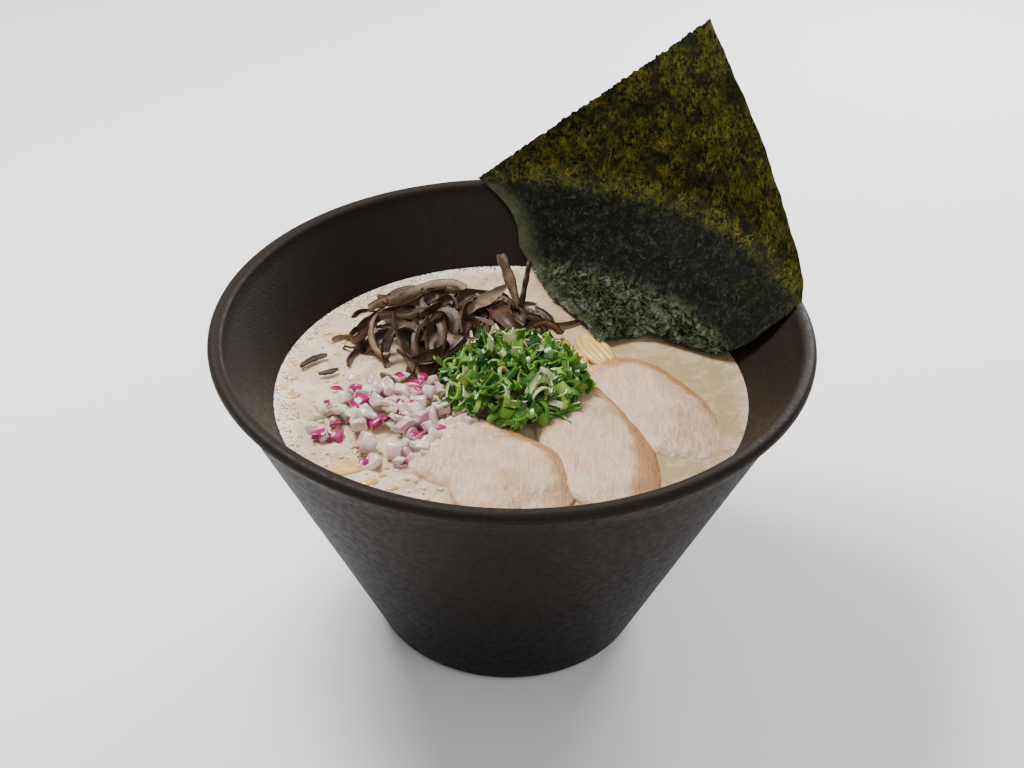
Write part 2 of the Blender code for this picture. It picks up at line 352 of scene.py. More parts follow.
def bowl():
    """Thrown bowl: flat foot, straight flared wall, small rolled lip, and the inside down to its floor."""
    put_down()
    foot = FOOT_RADIUS - 0.0035
    bpy.ops.mesh.primitive_circle_add(vertices=176, radius=foot, fill_type="NGON", location=(0, 0, 0))
    obj = named("bowl_dressed")
    slope = (RIM_RADIUS - FOOT_RADIUS) / RIM_HEIGHT
    bpy.ops.object.mode_set(mode="EDIT")
    bpy.ops.mesh.select_all(action="SELECT")
    bpy.ops.mesh.inset(thickness=0.006)
    choose_edges(obj, lambda p: math.hypot(p.x, p.y) > foot * 0.97)
    state = [foot, 0.0]
    turn = math.atan2(1, slope)
    for i in range(1, 7):
        a = turn * i / 6
        pull_ring(foot + FOOT_FILLET * math.sin(a), FOOT_FILLET * (1 - math.cos(a)), state)
    top = RIM_HEIGHT - 0.0046
    edge = RIM_RADIUS - 0.0006 - (RIM_HEIGHT - top) * slope
    pull_straight(edge, top, 14, state)
    pull_ring(RIM_RADIUS - 0.0009, RIM_HEIGHT - 0.0040, state)
    pull_ring(RIM_RADIUS - 0.0001, RIM_HEIGHT - 0.0031, state)
    r = LIP_ROUND
    for i in range(0, 6):
        a = math.radians(90 * i / 5)
        pull_ring(RIM_RADIUS - r + r * math.cos(a), RIM_HEIGHT - r + r * math.sin(a), state)
    for i in range(1, 7):
        a = math.radians(90 + 84 * i / 6)
        pull_ring(RIM_RADIUS - LIP_WIDTH + r + r * math.cos(a), RIM_HEIGHT - r + r * math.sin(a), state)
    pull_straight(BROTH_RADIUS, BROTH_LEVEL, 8, state)
    pull_straight(*INNER_FLOOR, 8, state)
    pull_ring(0.034, 0.0100, state)
    bpy.ops.mesh.edge_face_add()
    bpy.ops.object.mode_set(mode="OBJECT")
    face_outwards(obj)

    def thrown(p):
        lie = noise.noise(Vector((p.x * 14, p.y * 14, p.z * 9)))
        ring = math.sin(p.z * 1150.0 + 1.6 * math.atan2(p.y, p.x)) * 0.00004
        swell = 1.0 + (0.00025 * lie + ring) / 0.08 * min(p.z / 0.02, 1.0) * (p.z < RIM_HEIGHT - 0.004)
        return Vector((p.x * swell, p.y * swell, p.z))

    shape(obj, thrown)
    return done(obj, [glaze()], "stoneware", "bowl")


# ---- the broth ----------------------------------------------------------------------------------------


def cream():
    """Creamy broth: paler to the left, tanner to the right, with foam on the left and at its edge; the dark
    rings round its bubbles and its dark pinhole dots are painted shade.
    """
    f = Finish("broth", Specular_IOR_Level=0.4, Subsurface_Weight=0.15, Subsurface_Scale=0.003)
    f.shader.inputs["Subsurface Radius"].default_value = (1.0, 0.7, 0.4)
    across = f.axis("X")
    cloud = f.grain(24.0, 6.0, 0.65, warp=1.4)
    base = f.mix(f.ramp(across, -0.04, 0.055), (0.54, 0.42, 0.265), (0.385, 0.265, 0.135))
    base = f.mix(f.ramp(cloud, 0.40, 0.62) * 0.65, base, (0.34, 0.225, 0.11))
    base = f.mix(f.ramp(f.grain(150.0, 5.0, 0.7, warp=0.8), 0.46, 0.60) * 0.35, base, (0.64, 0.52, 0.36))
    edge = f.mark("edge")
    foam = f.ramp(f.grain(85.0, 5.0, 0.7, warp=0.5), 0.46, 0.58) * f.ramp(across, 0.02, -0.03)
    base = f.mix(foam * 0.6, base, (0.70, 0.60, 0.45))
    base = f.mix(edge * f.ramp(f.grain(120.0, 5.0, 0.7), 0.40, 0.54), base, (0.80, 0.71, 0.57))
    large = f.cells(300.0)
    small = f.cells(720.0)
    patch = f.ramp(f.grain(70.0, 4.0), 0.46, 0.58) * f.ramp(across, 0.03, -0.03)
    ring = f.ramp(large, 0.34, 0.26) * f.ramp(large, 0.14, 0.22)
    # painted shade: dark rings round the bubble domes in the froth patches
    base = f.mix(ring * patch * 0.9, base, (0.22, 0.14, 0.07))
    # painted shade: dark pinhole dots in the froth patches
    base = f.mix(f.ramp(small, 0.28, 0.14) * patch * 0.8, base, (0.24, 0.15, 0.075))
    # painted shade: dark dots and dark rings in the bubbles along the bowl's edge
    base = f.mix(edge * f.ramp(small, 0.36, 0.18), base, (0.075, 0.045, 0.025))
    base = f.mix(edge * ring * 0.8, base, (0.18, 0.115, 0.065))
    f.feed("Base Color", base)
    f.feed("Roughness", f.ramp(cloud, 0.3, 0.7, 0.20, 0.40))
    dome = f.ramp(large, 0.0, 0.35, 1.0, 0.0)
    bead = f.ramp(small, 0.0, 0.3, 1.0, 0.0)
    bump = f.relief(dome * patch + bead * edge + f.grain(170.0, 4.0) * 0.5, 0.6, 0.0008)
    f.feed("Normal", f.relief(cloud, 0.4, 0.004, bump))
    return f


def broth():
    """The broth as a body: a gently uneven surface that climbs a little where it meets the bowl."""
    put_down()
    radius = BROTH_RADIUS - 0.0001
    bpy.ops.mesh.primitive_circle_add(
        vertices=144, radius=radius, fill_type="NGON", location=(0, 0, BROTH_LEVEL)
    )
    obj = named("broth_dressed")
    bpy.ops.object.mode_set(mode="EDIT")
    bpy.ops.mesh.select_all(action="SELECT")
    for i in range(34):
        bpy.ops.mesh.inset(thickness=0.0006 if i < 8 else 0.0026)
    choose_edges(obj, lambda p: math.hypot(p.x, p.y) > radius * 0.998)
    state = [radius, BROTH_LEVEL]
    pull_straight(INNER_FLOOR[0] - 0.0002, BROTH_LEVEL - BROTH_DEPTH, 6, state)
    bpy.ops.mesh.edge_face_add()
    bpy.ops.object.mode_set(mode="OBJECT")
    face_outwards(obj)
    place_in_mesh(obj)

    def settle(p):
        if p.z < BROTH_LEVEL - 0.001:
            return p
        out = math.hypot(p.x, p.y)
        climb = max(0.0, (out - radius + 0.003) / 0.003) ** 2 * 0.00035
        swell = noise.noise(Vector((p.x * 45, p.y * 45, 0.3))) * 0.00030
        p.z += climb + swell * min(1.0, (radius - out) / 0.004) - 0.0002
        return p

    shape(obj, settle)

    def foamy(p):
        out = math.hypot(p.x, p.y)
        side = math.atan2(p.y, p.x)
        reach = 0.0062 + 0.0055 * noise.noise(Vector((math.cos(side) * 3, math.sin(side) * 3, 4.0)))
        left = 1.0 if p.x < 0.02 or p.y > 0.04 else 0.35
        return max(0.0, min(1.0, (out - radius + reach) / reach)) * left * (p.z > BROTH_LEVEL - 0.002)

    mark_vertices(obj, "edge", foamy)
    return done(obj, [cream()], "broth", "broth")


# ---- the chicken --------------------------------------------------------------------------------------


def meat():
    """Poached breast: pale pinkish cream, fine fibres, moist, with a tan edge on one side that is partly
    browned colour and partly painted shade.
    """
    f = Finish("chicken", Specular_IOR_Level=0.4, Subsurface_Weight=0.15, Subsurface_Scale=0.002)
    f.shader.inputs["Subsurface Radius"].default_value = (1.0, 0.6, 0.45)
    fibre = f.grain(1000.0, 3.0, 0.6, f.at((1.0, 0.2, 1.0), (0, 0, -0.8)), 1.0)
    band = f.grain(210.0, 3.0, 0.6, f.at((1.0, 0.4, 1.0), (0, 0, -0.7)), 1.4)
    cloud = f.grain(75.0, 4.0, 0.6)
    base = f.mix(f.ramp(cloud, 0.32, 0.68), (0.50, 0.30, 0.17), (0.61, 0.41, 0.265))
    base = f.mix(f.ramp(band, 0.45, 0.66) * 0.5, base, (0.69, 0.50, 0.355))
    base = f.mix(f.ramp(fibre, 0.42, 0.66) * 0.3, base, (0.76, 0.61, 0.48))
    stain = f.ramp(f.grain(42.0, 4.0, 0.6, warp=0.8), 0.52, 0.68)
    base = f.mix(stain * 0.75, base, (0.50, 0.285, 0.125))
    # partly browned colour, partly painted shade: tan towards the slice's edge on one side
    tan = f.mark("tan") * 1.3 + (f.grain(200.0, 4.0) - 0.5) * 0.9
    base = f.mix(f.ramp(tan, 0.15, 0.75) * 0.9, base, (0.38, 0.17, 0.055))
    f.feed("Base Color", base)
    f.feed("Roughness", f.ramp(cloud, 0.3, 0.7, 0.30, 0.52))
    bump = f.relief(fibre * 0.6 + band, 0.8, 0.0009)
    f.feed("Normal", f.relief(f.grain(110.0, 4.0), 0.7, 0.0024, bump))
    return f


def slab_point(direction, size, square):
    flat = math.hypot(direction.x, direction.y)
    if flat < 1e-6:
        return Vector((0.0, 0.0, math.copysign(size[2], direction.z)))
    up = math.copysign(abs(direction.z) ** square, direction.z)
    out = flat**square
    return Vector((direction.x / flat * out * size[0], direction.y / flat * out * size[1], up * size[2]))


def chicken_slice(name, place, size, turn, tilt, taper, seed, tan_from, finish, node):
    """A slice cut across the breast: an egg-shaped slab with a soft, wavy top and a tan edge on one side,
    partly browned and partly painted shade.
    """
    put_down()
    bpy.ops.mesh.primitive_uv_sphere_add(segments=72, ring_count=40, radius=1.0)
    obj = named(name)

    def carve(p):
        q = slab_point(p.normalized(), size, SLICE_SQUARE)
        q.x *= 1.0 - taper * q.y / size[1]
        ripple = noise.noise(Vector((p.x * 1.7, p.y * 1.7, seed + 9.0)))
        fine = noise.noise(Vector((p.x * 7.0, p.y * 7.0, seed + 3.0)))
        q.x *= 1.0 + 0.06 * ripple + 0.012 * fine
        q.y *= 1.0 + 0.06 * ripple + 0.012 * fine
        out = min(math.hypot(q.x / size[0], q.y / size[1]), 1.0)
        q.z += 0.0022 * (1 - out * out) * (1.0 + 0.5 * q.y / size[1]) - 0.0012 * out**3
        wave = noise.noise(Vector((q.x * 55, q.y * 55, seed)))
        q.z += 0.0012 * wave + 0.0005 * noise.noise(Vector((q.x * 170, q.y * 170, seed)))
        return q

    shape(obj, carve)

    # partly browned colour, partly painted shade: the tan share on the outer part of one side
    def tan_and_shade(p):
        out = math.hypot(p.x / size[0], p.y / size[1])
        way = math.degrees(math.atan2(p.y / size[1], p.x / size[0]))
        near = max(0.0, math.cos(math.radians(way - tan_from[0]) / 2) ** tan_from[1])
        return near * max(0.0, min(1.0, (out - 0.52) / 0.30))

    mark_vertices(obj, "tan", tan_and_shade)
    lean = Matrix.Rotation(math.radians(tilt[0]), 4, "X") @ Matrix.Rotation(math.radians(tilt[1]), 4, "Y")
    obj.data.transform(Matrix.Translation(place) @ Matrix.Rotation(math.radians(turn), 4, "Z") @ lean)
    return done(obj, [finish], "chicken", node)


def chicken():
    finish = meat()
    chicken_slice("chicken_left", (-0.0140, -0.0340, 0.0890), (0.0215, 0.0195, 0.0036), 12, (0, -2), 0.05,
                  1.0, (50, 2), finish, "chicken_slice_1")
    chicken_slice("chicken_front", (0.0005, -0.0480, 0.0905), (0.0200, 0.0235, 0.0036), 8, (-2, 2), 0.26,
                  2.0, (38, 4), finish, "chicken_slice_2")
    chicken_slice("chicken_middle", (0.0272, -0.0290, 0.0895), (0.0185, 0.0385, 0.0036), 14, (0, 2), 0.10,
                  3.0, (0, 4), finish, "chicken_slice_3")
    chicken_slice("chicken_right", (0.0478, -0.0070, 0.0885), (0.0180, 0.0335, 0.0036), 32, (0, 2), 0.06,
                  4.0, (42, 6), finish, "chicken_slice_4")


# ---- the nori -----------------------------------------------------------------------------------------

SHEET_TURN = 50.8
SHEET_REST_RADIUS = 0.0966
SHEET_REST_HEIGHT = 0.1187
SHEET_LEFT = -0.0802
SHEET_SIDE_UP_LEFT = (0.0790, 0.0724)
SHEET_SIDE_UP_RIGHT = (0.0743, 0.0713)
SHEET_LEAN = 4.4  # above the rim, at the middle
SHEET_TWIST = 9.7  # by how much the lean falls, SHEET_SPAN across from the middle
SHEET_SPAN = 0.070
SHEET_WALL_LEAN = 38.0  # under the rim, along the bowl's wall
SHEET_WALL_RUN = 0.0295  # length of sheet on the wall before it bends on to the broth
SHEET_WET_FROM = 0.044
SHEET_WET_SHRINK = 0.92
SHEET_WET_SHIFT = 0.60
SHEET_CELLS = 170


def sheet_lean(across, up):
    above = SHEET_LEAN - SHEET_TWIST * across / SHEET_SPAN
    blend = min(max((up + 0.001) / 0.011, 0.0), 1.0)
    lean = SHEET_WALL_LEAN + (above - SHEET_WALL_LEAN) * blend * blend * (3 - 2 * blend)
    bend = min(max((-up - SHEET_WALL_RUN) / 0.008, 0.0), 1.0)
    return math.radians(lean + (90.0 - lean) * bend * bend * (3 - 2 * bend))


def sheet_point(across, up):
    """Where a point of the flat sheet lies once it leans on the rim and rests on the broth."""
    steps = max(1, math.ceil(abs(up) / 0.0015))
    step = up / steps
    radius = SHEET_REST_RADIUS
    height = SHEET_REST_HEIGHT
    for i in range(steps):
        lean = sheet_lean(across, step * (i + 0.5))
        radius += step * math.sin(lean)
        height += step * math.cos(lean)
    opened = 1.0 + 0.1 * max(up, 0.0) / SHEET_SPAN
    turn = math.radians(SHEET_TURN) - across / (radius * opened)
    return Vector((radius * math.cos(turn), radius * math.sin(turn), height))


def soaked(across, up):
    """The wet lower corner shrinks and shifts; the right edge bows out, the left edge curls in."""
    if up < 0 and across > 0:
        across += 0.0105 * math.sin(math.pi * min(-up / 0.060, 1.0)) * min(across / 0.030, 1.0)
    if up < 0 and across < 0:
        across += 0.0045 * math.sin(math.pi * min(-up / 0.026, 1.0)) * min(-across / 0.060, 1.0)
    if up < -SHEET_WET_FROM:
        across += max(-up - SHEET_WET_FROM - 0.008, 0.0) * SHEET_WET_SHIFT
        up = -(SHEET_WET_FROM + (-up - SHEET_WET_FROM) * SHEET_WET_SHRINK)
    return across, up


def seaweed():
    """Pressed laver: black-green, thin enough to let light through; above the bowl's rim its olive and
    yellow-brown flecks are painted light shining through it, and low on its wet wrinkles pale flecks are
    painted glints.
    """
    f = Finish("seaweed", Specular_IOR_Level=0.16)
    up = f.axis("Z")
    fleck = f.grain(400.0, 5.0, 0.75, warp=1.2)
    fleck_2 = f.grain(620.0, 4.0, 0.7, f.at((1.0, 1.0, 0.5), (0.4, 0.7, 0.3)), 1.0)
    blot = f.grain(95.0, 4.0, 0.65, warp=0.8)
    # painted light: above the bowl's rim the sheet takes the bright olive and yellow-brown flecks below,
    # light shining through it; under the rim it keeps its dark colour
    painted_backlight = f.ramp(up + (blot - 0.5) * 0.008, 0.1145, 0.1195)
    olive = f.mix(f.ramp(fleck, 0.43, 0.56), (0.0028, 0.0040, 0.0010), (0.075, 0.078, 0.008))
    olive = f.mix(f.ramp(fleck_2, 0.52, 0.64) * 0.8, olive, (0.22, 0.175, 0.020))
    olive = f.mix(f.ramp(blot, 0.46, 0.60) * 0.75, olive, (0.0060, 0.0090, 0.0018))
    wet = f.mix(f.ramp(fleck, 0.50, 0.62), (0.0012, 0.0018, 0.0007), (0.024, 0.028, 0.006))
    # painted highlights: pale glints in the flecks under the rim
    wet = f.mix(f.ramp(fleck_2, 0.58, 0.68) * 0.5, wet, (0.115, 0.125, 0.055))
    sheet = f.node("ShaderNodeSeparateXYZ", {}, {0: f.node("ShaderNodeTexCoord", {}, {}, "UV")}, "X")
    # painted highlights: pale green glints on the wet, wrinkled part low on the sheet
    wrinkled = f.ramp(up, 0.097, 0.093) * f.ramp(fleck_2, 0.44, 0.60)
    wet = f.mix(wrinkled * 0.8, wet, (0.085, 0.10, 0.045))
    wet = f.mix(f.ramp(sheet + (fleck - 0.5) * 0.13, 0.055, 0.005) * 0.75, wet, (0.085, 0.095, 0.050))
    base = f.mix(painted_backlight, wet, olive)
    f.feed("Base Color", base)
    f.feed("Roughness", f.ramp(up, 0.092, 0.097, 0.22, 0.70))
    bump = f.relief(fleck + fleck_2 * 0.6, 0.45, 0.0005)
    f.feed("Normal", bump)
    light = f.node("ShaderNodeBsdfTranslucent", {}, {"Color": base, "Normal": bump})
    shared = f.node("ShaderNodeMixShader", {}, {0: 0.4, 1: Value(f, f.shader.outputs[0]), 2: light})
    f.join(shared, f.output.inputs["Surface"])
    return f


def nori():
    """A square sheet of nori, one corner up, its upper left edge torn and its wet corner wrinkled."""
    put_down()
    bpy.ops.mesh.primitive_grid_add(x_subdivisions=SHEET_CELLS, y_subdivisions=SHEET_CELLS, size=1.0)
    obj = named("nori_dressed")

    def lay(p):
        a = p.x + 0.5
        b = p.y + 0.5
        torn = noise.noise(Vector((a * 45, 0.2, 3.1))) * 0.5 + noise.noise(Vector((a * 130, 0.7, 1.4))) * 0.6
        b += (1 - b) ** 18 * (torn * 0.012 + 0.003)
        frayed = noise.noise(Vector((b * 30, 5.2, 0.4)))
        a -= a**24 * 0.003 * (0.5 + frayed) * (b < 0.98)
        across = SHEET_LEFT + a * SHEET_SIDE_UP_LEFT[0] + b * SHEET_SIDE_UP_RIGHT[0]
        up = a * SHEET_SIDE_UP_LEFT[1] - b * SHEET_SIDE_UP_RIGHT[1]
        q = sheet_point(*soaked(across, up))
        out = Vector((q.x, q.y, 0)).normalized()
        lump = noise.noise(q * 60) * 0.0008 + noise.noise(q * 170) * 0.00045 + noise.noise(q * 420) * 0.0002
        q += out * lump * (1.0 if q.z > 0.1 else 0.3)
        soft = max(0.0, min(1.0, (0.099 - q.z) / 0.006))
        fold = q + Vector((noise.noise(q * 90), noise.noise(q * 90 + Vector((5, 0, 0))), 0)) * 0.006
        crease = 1 - abs(noise.noise(Vector((fold.x * 150, fold.y * 150, 2.0)))) * 2.6
        small = 1 - abs(noise.noise(Vector((fold.x * 300, fold.y * 300, 7.0)))) * 2.6
        q.z += soft * (0.0019 * max(crease, 0.0) ** 2 + 0.0006 * max(small, 0.0) - 0.0005)
        return q

    shape(obj, lay)
    thicken(obj, 0.0003)
    return done(obj, [seaweed()], "seaweed", "nori_sheet")


# ---- wood ear -----------------------------------------------------------------------------------------


def ear_skin():
    f = Finish("wood_ear_skin", Roughness=0.46, Specular_IOR_Level=0.25)
    cloud = f.grain(240.0, 4.0, 0.6)
    base = f.mix(f.ramp(cloud, 0.3, 0.7), (0.020, 0.0095, 0.0055), (0.085, 0.041, 0.022))
    f.feed("Base Color", base)
    f.feed("Normal", f.relief(f.grain(700.0, 3.0), 0.3, 0.0004))
    return f


def ear_inside():
    f = Finish("wood_ear_inside", Roughness=0.55, Specular_IOR_Level=0.3)
    cloud = f.grain(300.0, 4.0, 0.6)
    base = f.mix(f.ramp(cloud, 0.3, 0.7), (0.105, 0.062, 0.036), (0.27, 0.175, 0.108))
    f.feed("Base Color", base)
    f.feed("Normal", f.relief(f.grain(1100.0, 3.0), 0.35, 0.0003))
    return f


def ribbon_blank(finishes):
    """One flat strip of wood ear, unit wide and long, dark on one face and pale on the other."""
    put_down()
    bpy.ops.mesh.primitive_grid_add(x_subdivisions=4, y_subdivisions=22, size=1.0)
    obj = named("wood_ear_blank")
    thicken(obj, 0.16)
    for face in obj.data.polygons:
        face.material_index = 1 if face.normal.z < -0.5 else 0
    dress(obj, finishes)
    return obj


def ribbon(blank, name, start, heading, pitch, length, turn, sag, width, roll, spin, curl, drape=None):
    """Bends a copy of the blank along a curving, twisting path, which may follow a surface."""
    steps = 44
    places = [Vector(start)]
    for i in range(steps):
        t = i / steps
        way = math.radians(heading + turn * t)
        rise = math.radians(pitch + sag * t)
        ahead = Vector((math.cos(way) * math.cos(rise), math.sin(way) * math.cos(rise), math.sin(rise)))
        places.append(places[-1] + ahead * (length / steps))
    if drape:
        for i, place in enumerate(places):
            place.z = drape(place, i / steps)
    copy = bpy.data.objects.new(name, blank.data.copy())
    bpy.context.scene.collection.objects.link(copy)
    for vert in copy.data.vertices:
        t = min(max(vert.co.y + 0.5, 0.0), 1.0)
        k = min(t * steps, steps - 0.001)
        low = int(k)
        place = places[low].lerp(places[low + 1], k - low)
        ahead = (places[min(low + 3, steps)] - places[max(low - 2, 0)]).normalized()
        side = ahead.cross(Vector((0, 0, 1))).normalized()
        side = Matrix.Rotation(math.radians(roll + spin * t), 3, ahead) @ side
        face = side.cross(ahead).normalized()
        wide = width * (1.0 - 0.55 * abs(2 * t - 1) ** 3)
        wide *= 1.0 + 0.35 * noise.noise(Vector((t * 6, start[0] * 900, start[1] * 900)))
        bow = curl * width * (vert.co.x * 2) ** 2
        vert.co = place + side * vert.co.x * wide + face * (vert.co.z * WOOD_EAR_THICK + bow)
    return copy


def heap_height(x, y, place, size, turn, top):
    """Height of the top of a rounded heap over a point, or None outside it."""
    c = math.cos(math.radians(-turn))
    s = math.sin(math.radians(-turn))
    dx = x - place[0]
    dy = y - place[1]
    u = (dx * c - dy * s) / size[0]
    v = (dx * s + dy * c) / size[1]
    out = u * u + v * v
    if out >= 1.0:
        return None
    return place[2] + top * (1 - out) ** 0.6


def wood_ear():
    finishes = [ear_skin(), ear_inside()]
    blank = ribbon_blank(finishes)
    chance = random.Random(41)
    strips = []
    place = WOOD_EAR_PLACE
    size = WOOD_EAR_SIZE
    for i in range(74):
        while True:
            x = place[0] + chance.uniform(-1, 1) * 0.034
            y = place[1] + chance.uniform(-1, 1) * 0.027
            if heap_height(x, y, place, size, WOOD_EAR_TURN, WOOD_EAR_TOP) is not None:
                break
        length = chance.uniform(0.018, 0.042)
        heading = chance.uniform(0, 360)
        turn = chance.choice((-1, 1)) * chance.uniform(30, 330)
        lift = chance.uniform(-0.0040, 0.0012)
        rock = chance.uniform(0.0006, 0.0024)
        middle = math.radians(heading + turn / 3)
        back = Vector((math.cos(middle), math.sin(middle), 0))
        start = Vector((x, y, 0.09)) - back * length * 0.35

        def over_heap(p, t, lift=lift, rock=rock, i=i):
            top = heap_height(p.x, p.y, place, size, WOOD_EAR_TURN, WOOD_EAR_TOP) or place[2]
            wave = rock * math.sin(t * 7.0 + i)
            return max(top + lift + wave, 0.0896 + 0.0006 * math.sin(t * 9 + i))

        strips.append(
            ribbon(blank, f"ear_{i}", start, heading, 0, length, turn, 0, chance.uniform(0.0024, 0.0058),
                   chance.uniform(-75, 75), chance.uniform(-90, 90), 0.3, over_heap)
        )
    loose = [  # thin arcs round the heap: x, y, heading, length, turn
        (-0.052, 0.022, 80, 0.016, 150),
        (-0.048, 0.036, 20, 0.020, -120),
        (-0.056, 0.012, 100, 0.013, -70),
        (-0.042, 0.047, 10, 0.018, -60),
        (-0.030, 0.056, -10, 0.016, 80),
        (-0.040, -0.002, 60, 0.012, 120),
        (0.008, 0.050, -30, 0.014, -60),
        (0.010, 0.040, -20, 0.015, 70),
    ]
    for i, (x, y, heading, length, turn) in enumerate(loose):
        strips.append(
            ribbon(blank, f"ear_loose_{i}", (x, y, 0.0908), heading, 2, length, turn, -3, 0.0019, 30, 40, 0.2)
        )
    shown = joined(strips, "wood_ear_dressed")
    done(shown, finishes, "wood_ear", "wood_ear_heap")
    singles = {  # x, y, z, heading, pitch, length, turn, sag, width, roll
        "wood_ear_strip_1": (0.0020, 0.0385, 0.0955, 112, 42, 0.0225, 20, 20, 0.0068, 80),
        "wood_ear_strip_2": (0.0022, 0.0395, 0.0955, 84, 42, 0.0190, -24, 28, 0.0048, 80),
        "wood_ear_strip_3": (-0.0185, 0.0261, 0.1030, 36, 12, 0.0215, 12, -6, 0.0038, 30),
        "wood_ear_strip_4": (-0.0720, 0.0100, 0.0914, 60, 0, 0.0115, -38, 0, 0.0020, 0),
        "wood_ear_strip_5": (-0.0655, 0.0060, 0.0914, 10, 0, 0.0072, 32, 0, 0.0018, 0),
    }
    for node, (x, y, z, heading, pitch, length, turn, sag, width, roll) in singles.items():
        pale = node == "wood_ear_strip_3"
        one = ribbon(blank, node + "_dressed", (x, y, z), heading, pitch, length, turn, sag, width, roll,
                     20.0, 0.12)
        if pale:
            one.data.materials[0] = finishes[1].material
        done(one, finishes, "wood_ear", node)
    bpy.data.objects.remove(blank, do_unlink=True)


# ---- scallion -----------------------------------------------------------------------------------------


def leaf(name, dark, light):
    f = Finish(name, Roughness=0.3, Specular_IOR_Level=0.5, Subsurface_Weight=0.15, Subsurface_Scale=0.002)
    cloud = f.grain(210.0, 3.0)
    fibre = f.grain(1400.0, 2.0, 0.5, f.at((1, 1, 0.1)))
    base = f.mix(f.ramp(cloud, 0.32, 0.68), dark, light)
    f.feed("Base Color", f.mix(f.ramp(fibre, 0.5, 0.8) * 0.25, base, light))
    f.feed("Normal", f.relief(fibre, 0.3, 0.0003))
    return f


def scallion_ring(name, radius, wall, height, squash):
    """A slice across a hollow leaf: a short tube, pressed a little flat."""
    put_down()
    bpy.ops.mesh.primitive_cylinder_add(vertices=14, radius=radius, depth=height, end_fill_type="NOTHING")
    obj = named(name)
    thicken(obj, wall, -1.0)
    shape(obj, lambda p: Vector((p.x, p.y * squash, p.z + 0.25 * p.x)))
    return obj


def scallion_sliver(name, length, width, bend):
    """A piece of split leaf, curved across like a trough."""
    put_down()
    bpy.ops.mesh.primitive_grid_add(x_subdivisions=4, y_subdivisions=5, size=1.0)
    obj = named(name)

    def curve(p):
        return Vector((p.x * width, p.y * length, bend * width * (4 * p.x * p.x) + p.y * p.y * length * 0.9))

    shape(obj, curve)
    thicken(obj, 0.0005)
    return obj


def scattered(blanks, name, count, seed, where, tilt, sizes, finishes, slot, *nodes):
    """Copies of a few blanks, each turned and sized by chance and laid where a function says."""
    chance = random.Random(seed)
    made = []
    for blank in blanks:
        dress(blank, finishes)
    for i in range(count):
        blank = chance.choice(blanks)
        spot = where(chance)
        k = chance.uniform(*sizes)
        lie = Matrix.Translation(spot) @ Matrix.Rotation(chance.uniform(0, math.tau), 4, "Z")
        lie = lie @ Matrix.Rotation(math.radians(chance.uniform(-tilt, tilt)), 4, "X")
        lie = lie @ Matrix.Rotation(math.radians(chance.uniform(-tilt, tilt)), 4, "Y")
        lie = lie @ Matrix.Diagonal((k, k * chance.uniform(0.8, 1.2), k, 1.0))
        piece = copy_of(blank, f"{name}_{i}", lie)
        shade = int(len(finishes) * chance.random() ** 1.7)
        for face in piece.data.polygons:
            face.material_index = shade
        made.append(piece)
    whole = joined(made, name)
    return done(whole, finishes, slot, *nodes)


def scallion():
    place = SCALLION_PLACE
    size = SCALLION_SIZE

    def on_heap(chance):
        while True:
            x = place[0] + chance.uniform(-1, 1) * size[0]
            y = place[1] + chance.uniform(-1, 1) * size[1]
            z = heap_height(x, y, place, size, 0, SCALLION_TOP)
            if z is not None:
                return Vector((x, y, z - chance.uniform(0.0, 0.0035)))
            if chance.random() < 0.025:
                lift = chance.uniform(0.0005, 0.002)
                return Vector((x * 1.05 + 0.003, y * 1.1 - 0.005, place[2] + lift))

    blanks = [
        scallion_ring("ring_a", 0.0031, 0.0006, 0.0030, 0.7),
        scallion_ring("ring_b", 0.0024, 0.0005, 0.0044, 0.45),
        scallion_ring("ring_c", 0.0037, 0.0006, 0.0022, 0.5),
        scallion_ring("ring_d", 0.0028, 0.0005, 0.0017, 0.8),
        scallion_sliver("sliver_a", 0.0085, 0.0036, 0.55),
        scallion_sliver("sliver_b", 0.0065, 0.0030, 0.5),
        scallion_sliver("sliver_c", 0.0110, 0.0024, 0.5),
    ]
    greens = [
        leaf("scallion_green", (0.030, 0.125, 0.010), (0.120, 0.29, 0.030)),
        leaf("scallion_mid", (0.020, 0.085, 0.008), (0.065, 0.19, 0.018)),
        leaf("scallion_dark", (0.006, 0.040, 0.006), (0.024, 0.10, 0.012)),
        leaf("scallion_light", (0.13, 0.30, 0.03), (0.30, 0.46, 0.09)),
        leaf("scallion_pale", (0.42, 0.50, 0.20), (0.60, 0.63, 0.36)),
    ]
    scattered(blanks, "scallion_dressed", 300, 7, on_heap, 75, (0.75, 1.15), greens, "scallion",
              "scallion_heap")
    for blank in blanks:
        bpy.data.objects.remove(blank, do_unlink=True)


# ---- red onion ----------------------------------------------------------------------------------------


def onion_flesh():
    f = Finish("onion_flesh", Roughness=0.2, Specular_IOR_Level=0.45, Subsurface_Weight=0.3,
               Subsurface_Scale=0.002)
    cloud = f.grain(150.0, 3.0)
    base = f.mix(f.ramp(cloud, 0.38, 0.62), (0.64, 0.54, 0.45), (0.50, 0.27, 0.30))
    veins = f.grain(900.0, 2.0, 0.5, f.at((1, 0.15, 1)))
    f.feed("Base Color", f.mix(f.ramp(veins, 0.5, 0.75) * 0.3, base, (0.80, 0.74, 0.70)))
    f.feed("Normal", f.relief(veins, 0.3, 0.0003))
    return f


def onion_skin():
    f = Finish("onion_skin", Roughness=0.22, Specular_IOR_Level=0.4)
    cloud = f.grain(300.0, 3.0)
    f.feed("Base Color", f.mix(f.ramp(cloud, 0.3, 0.7), (0.15, 0.002, 0.035), (0.36, 0.012, 0.11)))
    f.feed("Normal", f.relief(f.grain(900.0, 2.0), 0.15, 0.0003))
    return f


